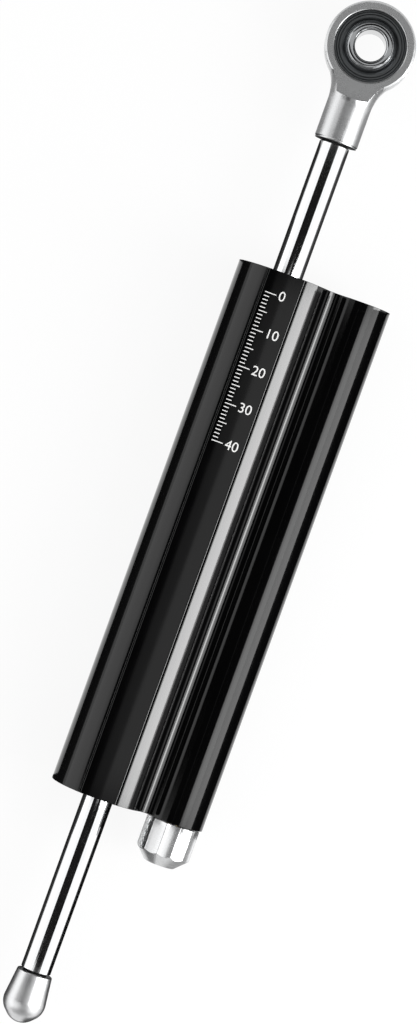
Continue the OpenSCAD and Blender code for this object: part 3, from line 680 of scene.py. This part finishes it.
def makeCap(shape):
    widest = capHigh.x
    shoulder = shape["shoulderRadius"]
    coneAngle = math.radians(45)
    diagonal = math.sqrt(0.5)
    shoulderSpot = Vector((widest - shoulder, capLow.y + shape["noseLength"], 0))
    coneRadius = shoulderSpot.x + shoulder * diagonal
    coneLevel = shoulderSpot.y - shoulder * diagonal
    # the nose's round touches the cone and the lowest point of the cap
    noseRadius = (coneRadius - (coneLevel - capLow.y)) / (2 * diagonal - 1)
    noseSpot = Vector((0, capLow.y + noseRadius, 0))
    mouth = Vector((shape["mouthRadius"], capHigh.y, 0))
    toMouth = mouth - shoulderSpot
    flankAngle = math.acos(shoulder / toMouth.length) - math.atan2(toMouth.y, toMouth.x)
    flankWay = Vector((math.cos(flankAngle), -math.sin(flankAngle), 0))
    socket = shape["socketRadius"]
    socketFloor = capHigh.y - shape["socketDepth"]
    bm = bmesh.new()
    vert = polyline(bm, [(0, socketFloor, 0), (socket, socketFloor, 0), (socket, capHigh.y, 0), mouth])
    vert = lineTo(bm, vert, shoulderSpot + shoulder * flankWay)
    vert = arcTo(bm, vert, shoulderSpot, outOfPad, flankAngle - coneAngle, shape["arcSteps"])
    vert = lineTo(bm, vert, noseSpot + noseRadius * Vector((diagonal, -diagonal, 0)))
    arcTo(bm, vert, noseSpot, outOfPad, -coneAngle, shape["arcSteps"])
    lathe(bm, (0, 0, 0), alongRod, shape["steps"])
    roundEdges(bm, shape["mouthRound"], segments=3, degrees=60)
    return newPiece("bulletCap", bm, "end_cap")


makeCap(capShape)
print("rod and cap done")


# Knob: fluted side, coned end and the sink for its screw
knobShape = {
    "flutes": 12,
    "fluteAngle": math.radians(2.5),
    "fluteRadius": 6 * mm,
    "fluteSteps": 10,
    "ridgeWidth": 0.15 * mm,
    "coneLength": 3.2 * mm,
    "sinkRadius": 2.4 * mm,
    "sinkDepth": 2.1 * mm,
    "screwHoleRadius": 1.3 * mm,
    "web": 1.1 * mm,
    "shaftRadius": 2.03 * mm,
    "edgeRound": 0.07 * mm,
    "screwRound": 0.12 * mm,
}


def makeKnob(shape):
    radius = (knobHigh.x - knobLow.x) / 2
    pitch = 2 * math.pi / shape["flutes"]
    ridgeTurn = 2 * math.asin(shape["ridgeWidth"] / 2 / radius)
    halfFlute = (pitch - ridgeTurn) / 2
    halfChord = radius * math.sin(halfFlute)
    fluteReach = radius * math.cos(halfFlute) + math.sqrt(shape["fluteRadius"] ** 2 - halfChord**2)
    fluteTurn = 2 * math.asin(halfChord / shape["fluteRadius"])
    coneTip = radius - shape["coneLength"]
    axis = Vector((tubeX, knobHigh.y, 0))
    bm = bmesh.new()
    firstEdge = Matrix.Rotation(shape["fluteAngle"] - halfFlute, 3, alongRod) @ (outOfPad * radius)
    vert = startAt(bm, axis + firstEdge)
    for flute in range(shape["flutes"]):
        turn = Matrix.Rotation(shape["fluteAngle"] + flute * pitch, 3, alongRod)
        fluteSpot = axis + turn @ (outOfPad * fluteReach)
        vert = arcTo(bm, vert, fluteSpot, alongRod, -fluteTurn, shape["fluteSteps"])
        vert = arcTo(bm, vert, axis, alongRod, ridgeTurn, 1)
    bmesh.ops.remove_doubles(bm, verts=bm.verts, dist=touching)
    outline = bm.edges[:]
    # the side ends where the cone meets the flutes
    side = bmesh.ops.extrude_edge_only(bm, edges=outline)["geom"]
    for vert in vertsOf(side):
        spoke = Vector((vert.co.x - tubeX, vert.co.z))
        vert.co.y = knobLow.y + spoke.length - coneTip
    loop = edgesOf(side)
    sinkFloor = knobLow.y + shape["sinkDepth"]
    seat = sinkFloor + shape["web"]
    sink, screwHole, shaft = shape["sinkRadius"], shape["screwHoleRadius"], shape["shaftRadius"]
    for radius, level in (
        (coneTip, knobLow.y), (sink, knobLow.y), (sink, sinkFloor), (screwHole, sinkFloor),
        (screwHole, seat), (shaft, seat), (shaft, knobHigh.y)
    ):
        loop = loopTo(bm, loop, tubeX, radius, level)
    bmesh.ops.bridge_loops(bm, edges=loop + outline)
    roundEdges(bm, shape["edgeRound"], degrees=20)
    return newPiece("flutedKnob", bm, "knob", sharpAt=30, finish=finishes["knob_metal"])


makeKnob(knobShape)
softened("knobScrew", "knob_screw", knobShape["screwRound"])
print("knob done")


# Bearing in the eye: a dark race with turned rings, and the ball with its bore
raceShape = {
    "seatGap": 0.04 * mm,
    "mouthBreak": 0.5 * mm,
    "innerLand": 0.55 * mm,
    "ringWidth": 0.28 * mm,
    "ringDepth": 0.22 * mm,
    "ringPitch": 0.62 * mm,
    "rings": 2,
    "rimRound": 0.2 * mm,
    "seatSteps": 16,
    "rimSteps": 4,
    "steps": 128,
}
ballShape = {"boreBreak": 0.4 * mm, "faceRound": 0.12 * mm, "arcSteps": 24, "steps": 128}
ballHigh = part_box("bearing_ball")[1]
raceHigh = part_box("bearing_race")[1]
ballRadius = ballHigh.x
boreRadius = next(m for m in frame["record"]["mounts"] if m["name"] == "rod_eye")["dims"]["r_mm"] * mm


# one half of a bearing ring, drawn as radius and height, mirrored and turned round the bore
def turnRing(bm, steps):
    mirrorDown(bm)
    lathe(bm, eyeCentre, outOfPad, steps)


def atEye(radius, height):
    return eyeCentre + Vector((radius, 0, height))


def makeRace(shape):
    rim = raceHigh.x
    top = raceHigh.z
    seat = ballRadius + shape["seatGap"]
    seatTop = top - shape["mouthBreak"]
    seatTurn = math.asin(seatTop / seat)
    mouth = seat * math.cos(seatTurn) + shape["mouthBreak"]
    bm = bmesh.new()
    vert = startAt(bm, atEye(seat, 0))
    vert = arcTo(bm, vert, eyeCentre, alongRod, -seatTurn, shape["seatSteps"])
    vert = lineTo(bm, vert, atEye(mouth, top))
    across = mouth + shape["innerLand"]
    for ring in range(shape["rings"]):
        vert = lineTo(bm, vert, atEye(across, top))
        vert = lineTo(bm, vert, atEye(across + shape["ringWidth"] / 2, top - shape["ringDepth"]))
        vert = lineTo(bm, vert, atEye(across + shape["ringWidth"], top))
        across += shape["ringPitch"]
    rimSpot = atEye(rim - shape["rimRound"], top - shape["rimRound"])
    vert = lineTo(bm, vert, atEye(rim - shape["rimRound"], top))
    vert = arcTo(bm, vert, rimSpot, alongRod, math.pi / 2, shape["rimSteps"])
    lineTo(bm, vert, atEye(rim, 0))
    turnRing(bm, shape["steps"])
    return newPiece("bearingRace", bm, "bearing_race", sharpAt=25)


def makeBall(shape):
    half = ballHigh.z
    faceTurn = math.asin(half / ballRadius)
    bm = bmesh.new()
    vert = startAt(bm, atEye(ballRadius, 0))
    vert = arcTo(bm, vert, eyeCentre, alongRod, -faceTurn, shape["arcSteps"])
    vert = lineTo(bm, vert, atEye(boreRadius + shape["boreBreak"], half))
    vert = lineTo(bm, vert, atEye(boreRadius, half - shape["boreBreak"]))
    lineTo(bm, vert, atEye(boreRadius, 0))
    turnRing(bm, shape["steps"])
    roundEdges(bm, shape["faceRound"], degrees=25)
    return newPiece("bearingBall", bm, "bearing_ball", sharpAt=25)


makeRace(raceShape)
makeBall(ballShape)


# Rod end: a broad rounded lip round the race, the other corners only broken
rodEndShape = {
    "lipRound": 0.2 * mm,
    "lipReach": 0.6 * mm,
    "edgeRound": 0.12 * mm,
    "mouthBreak": 0.22 * mm,
}


def makeRodEnd(shape):
    bm = cadCopy("rod_end")
    # the shank's mouth spreads to a slim break
    mouthRadius = eyeHigh.z - shape["mouthBreak"]
    for vert in bm.verts:
        spoke = Vector((vert.co.x, 0, vert.co.z))
        if vert.co.y < shankLow.y + touching and spoke.length > rodHigh.x:
            vert.co += spoke.normalized() * (mouthRadius - spoke.length)

    def onLip(vert):
        reach = (vert.co - eyeCentre).xy.length - raceHigh.x
        return 0 < reach < shape["lipReach"] and abs(vert.co.z) > raceHigh.z

    lip = [edge for edge in bm.edges if all(onLip(vert) for vert in edge.verts)]
    roundEdges(bm, shape["lipRound"], segments=4, chosen=lip)
    roundEdges(bm, shape["edgeRound"])
    return newPiece("rodEnd", bm, "rod_end")


makeRodEnd(rodEndShape)
print("eye done")

# Closing pieces in the body's ends
endRounds = {"circlips": 0.1 * mm, "plugs": 0.12 * mm}
for node in ("top_gland_circlip", "bottom_gland_circlip", "plug_circlip"):
    softened(node + "_soft", node, endRounds["circlips"])
for node in ("top_gland", "bottom_gland", "reservoir_plug", "top_wiper", "bottom_wiper"):
    softened(node + "_soft", node, endRounds["plugs"])
print("ends of the body done")


# Inside the side tube: the spring as a still coil (in the part it shortens as the floating piston rises), and the
# detent's ball
coilShape = {"wire": 0.9 * mm, "turns": 5, "stepsPerTurn": 32, "wireSides": 12}
detentShape = {"steps": 32}


def makeCoil(shape):
    low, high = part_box("compensator_spring")
    wire = shape["wire"] / 2
    start = Vector((high.x - wire, low.y + wire, 0))
    bm = bmesh.new()
    lying = Matrix.Translation(start)
    bmesh.ops.create_circle(bm, cap_ends=True, segments=shape["wireSides"], radius=wire, matrix=lying)
    steps = shape["turns"] * shape["stepsPerTurn"]
    rise = alongRod * (high.y - low.y - shape["wire"]) / steps
    bmesh.ops.spin(
        bm, geom=bm.verts[:] + bm.edges[:] + bm.faces[:], cent=(tubeX, 0, 0), axis=alongRod, dvec=rise,
        angle=-shape["turns"] * 2 * math.pi, steps=steps
    )
    piece = newPiece("compensatorCoil", bm, "compensator_spring")
    slide = next(joint for joint in frame["joints"] if joint["name"] == "compensator_slide")
    keep = 1 - slide["range_m"][1] / (high.y - low.y)
    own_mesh(piece)
    return piece


def makeDetentBall(shape):
    low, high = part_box("detent_ball")
    centre = (low + high) / 2
    bm = bmesh.new()
    vert = startAt(bm, (centre.x, low.y, centre.z))
    arcTo(bm, vert, centre, outOfPad, math.pi, shape["steps"] // 2)
    lathe(bm, centre, alongRod, shape["steps"])
    return newPiece("detentBall", bm, "detent_ball")


makeCoil(coilShape)
makeDetentBall(detentShape)
print("side tube done")


# Studio: a pale floor, a dim room, soft lamps, dark cards and grey scrims
studio = {
    "floorSize": 30.0,
    "floorGlow": 0.9,  # share of the floor's own light near the part
    "glowRises": 0.3,  # metres from the part where it starts to rise
    "glowFull": 0.8,  # metres from the part where it is whole
    "glossFalls": 0.15,  # metres from the part where gloss starts to see less of it
    "glossFar": 0.5,  # metres from the part where gloss sees the least
    "farGloss": 0.25,  # the least that gloss sees
    "roomFill": 0.4,
    "roomGrey": 0.4,  # what gloss sees of the low room
    "roomDark": 0.01,  # what gloss sees of the high room
    "greyBelow": 0.45,
    "darkAbove": 0.62,
}
# each lamp spans these degrees from straight above, and these metres along the rod
lamps = {
    "leftPanel": {"span": (-98, -52), "along": (-1.10, 0.50), "distance": 0.90, "brightness": 1.1},
    "leftRodTop": {"span": (-52, -28), "along": (0.118, 0.45), "distance": 0.90, "brightness": 1.1},
    "leftRodLow": {"span": (-52, -28), "along": (-1.10, -0.170), "distance": 0.90, "brightness": 1.1},
    "padDim": {"span": (-5, 1), "along": (-0.159, 0.112), "distance": 0.80, "brightness": 0.28},
    "padPanel": {"span": (1, 11), "along": (-0.159, 0.112), "distance": 0.80, "brightness": 0.82},
    "eyePanel": {"span": (-28, 32), "along": (0.203, 0.33), "distance": 0.90, "brightness": 0.72},
    "capPanel": {"span": (-16, 28), "along": (-1.10, -0.275), "distance": 0.90, "brightness": 0.36},
    "capLeft": {"span": (-28, -16), "along": (-1.10, -0.264), "distance": 0.90, "brightness": 1.1},
    "rightSoft": {"span": (25, 48), "along": (-0.166, 0.116), "distance": 0.85, "brightness": 3.6},
    "rightStrip": {"span": (48, 79), "along": (-0.165, 0.118), "distance": 0.80, "brightness": 14.5},
    "rightPanel": {"span": (32, 96), "along": (-1.10, 0.60), "distance": 1.00, "brightness": 1.1},
}
# dark cards that only gloss sees: lowest and highest corner in millimetres, flat or on edge
cards = {
    "leftCard": ((-140, -90, -11.4), (-30, 90, -11.4)),
    "rodTopCard": ((-60, 71.5, -11.9), (60, 108.5, -11.9)),
    "rodLowCard": ((-60, -150, -11.9), (6, -71.5, -11.9)),
    "rodSideCard": ((6, -150, -11.9), (6, -71.5, 1.6)),
    "rightCard": ((34, -74, -2.5), (34, 71, 8.3)),
    "tubeCard": ((17, -74.6, 40), (28.5, 72.6, 40)),
    # shankShade and capShade paint a dark shadow line into the rod's gloss where it meets the shank and the cap
    "shankShade": ((-4, 107.46, 0), (4, 107.46, 4.1)),
    "capShade": ((-3.2, -120.06, 0), (3.2, -120.06, 4.1)),
}
# glowing white and grey cards round the knob, seen by gloss alone: painted highlights in the knob's reflections
# that light nothing
knobGlowCards = {
    "knobCard": {"corners": ((20.8, -92, 16), (28, -73, 16)), "glow": 1.25},
    "knobSideCard": {"corners": ((12, -90, 8.6), (12, -73, 14.5)), "glow": 1.1},
    "knobLowCard": {"corners": ((26, -150, -11.9), (70, -74.5, -11.9)), "glow": 0.4},
}
# grey sheets that dim the lamps for gloss alone, by the share of light that passes
scrims = {
    "tubeScrim": {"corners": ((34, -74, 8.3), (34, 71, 16.8)), "passes": 0.25},
    "shankScrim": {"corners": ((-60, 108.5, -11.9), (60, 121, -11.9)), "passes": 0.35},
    "eyeScrim": {"corners": ((16, 123, 5.5), (16, 150, 40)), "passes": 0.2},
}


# a flat sheet between two opposite corners, one of whose three sides is nothing
def stageSheet(name, low, high, finish):
    low, high = Vector(low) * mm, Vector(high) * mm
    size = high - low
    bm = bmesh.new()
    vert = startAt(bm, low)
    sides = Vector((size.x, 0, 0)), Vector((0, size.y, 0)), Vector((0, 0, size.z))
    ways = [side for side in sides if side.length > 0]
    lineTo(bm, vert, low + ways[0])
    grown = bmesh.ops.extrude_edge_only(bm, edges=bm.edges[:])["geom"]
    bmesh.ops.translate(bm, verts=vertsOf(grown), vec=ways[1])
    mesh = bpy.data.meshes.new(name)
    bm.to_mesh(mesh)
    bm.free()
    mesh.materials.append(finish)
    sheet = bpy.data.objects.new(name, mesh)
    scene.collection.objects.link(sheet)
    return sheet


def onlyForGloss(sheet):
    for kind in ("camera", "diffuse", "transmission", "shadow"):
        setattr(sheet, f"visible_{kind}", False)


def paleFloor():
    finish = Finish("paleFloor")
    grain = finish.noise(finish.place(), 40.0, 3.0)
    tone = finish.blend(grain, (0.78, 0.78, 0.78), (0.82, 0.82, 0.82))
    matt = finish.node("ShaderNodeBsdfDiffuse", {}, {"Color": tone})
    glow = finish.node("ShaderNodeEmission", {}, {"Color": (1, 1, 1, 1), "Strength": 1.0})
    near = studio["floorGlow"]
    # far from the part the floor is as bright as the room behind it
    away = finish.node("ShaderNodeVectorMath", {"operation": "LENGTH"}, {0: finish.place()}, "Value")
    even = finish.spread(away, studio["glowRises"], studio["glowFull"], near, 1.0)
    # gloss sees a greyer floor there, so that bright metal keeps its outline
    dimmer = finish.spread(away, studio["glossFalls"], studio["glossFar"], near, studio["farGloss"])
    share = finish.rays("Camera", "Transmission") * even + finish.rays("Glossy") * dimmer
    mixed = finish.node("ShaderNodeMixShader", {}, {0: share, 1: matt, 2: glow})
    finish.node("ShaderNodeOutputMaterial", {}, {"Surface": mixed})
    return finish.material


def blackCard():
    finish = Finish("blackCard")
    nap = finish.noise(finish.place(), 300.0, 3.0)
    tone = finish.blend(nap, (0.002, 0.002, 0.002), (0.004, 0.004, 0.004))
    return finish.done(Base_Color=tone, Roughness=0.9)


def glowCard(glow):
    finish = Finish("glowCard")
    light = finish.node("ShaderNodeEmission", {}, {"Color": (1, 1, 1, 1), "Strength": glow})
    finish.node("ShaderNodeOutputMaterial", {}, {"Surface": light})
    return finish.material


def greyScrim(passes):
    finish = Finish("greyScrim")
    thin = finish.node("ShaderNodeBsdfTransparent", {}, {"Color": (passes, passes, passes, 1)})
    finish.node("ShaderNodeOutputMaterial", {}, {"Surface": thin})
    return finish.material


def lightRoom():
    scene.world = bpy.data.worlds.new("room")
    room = Finish("room", scene.world)
    way = room.node("ShaderNodeTexCoord", {}, {}, "Generated")
    height = room.node("ShaderNodeSeparateXYZ", {}, {0: way}, "Z")
    grey, dark = studio["roomGrey"], studio["roomDark"]
    shine = room.spread(height, studio["greyBelow"], studio["darkAbove"], grey, dark)
    glossy = room.rays("Glossy")
    seen = room.rays("Camera", "Transmission")
    strength = seen + (1 - seen) * (glossy * shine + (1 - glossy) * studio["roomFill"])
    light = room.node("ShaderNodeBackground", {}, {"Color": (1, 1, 1, 1), "Strength": strength})
    room.node("ShaderNodeOutputWorld", {}, {"Surface": light})


def hangLamp(name, lamp):
    first, last = (math.radians(angle) for angle in lamp["span"])
    low, high = lamp["along"]
    data = bpy.data.lights.new(name, "AREA")
    data.shape = "RECTANGLE"
    data.size = 2 * lamp["distance"] * math.tan((last - first) / 2)
    data.size_y = high - low
    data.energy = math.pi * data.size * data.size_y * lamp["brightness"]
    hung = bpy.data.objects.new(name, data)
    scene.collection.objects.link(hung)
    away = outOfPad * lamp["distance"] + alongRod * (low + high) / 2
    hung.matrix_world = Matrix.Rotation((first + last) / 2, 4, alongRod) @ Matrix.Translation(away)
    hung.visible_camera = False


half = studio["floorSize"] / 2 / mm
level = bodyLow.z / mm
stageSheet("floor", (-half, -half, level), (half, half, level), paleFloor())
cardFinish = blackCard()
for name, corners in cards.items():
    onlyForGloss(stageSheet(name, *corners, cardFinish))
for name, card in knobGlowCards.items():
    onlyForGloss(stageSheet(name, *card["corners"], glowCard(card["glow"])))
for name, scrim in scrims.items():
    onlyForGloss(stageSheet(name, *scrim["corners"], greyScrim(scrim["passes"])))
lightRoom()
for name, lamp in lamps.items():
    hangLamp(name, lamp)
print("studio:", len(lamps), "lamps and", len(cards) + len(knobGlowCards), "cards")
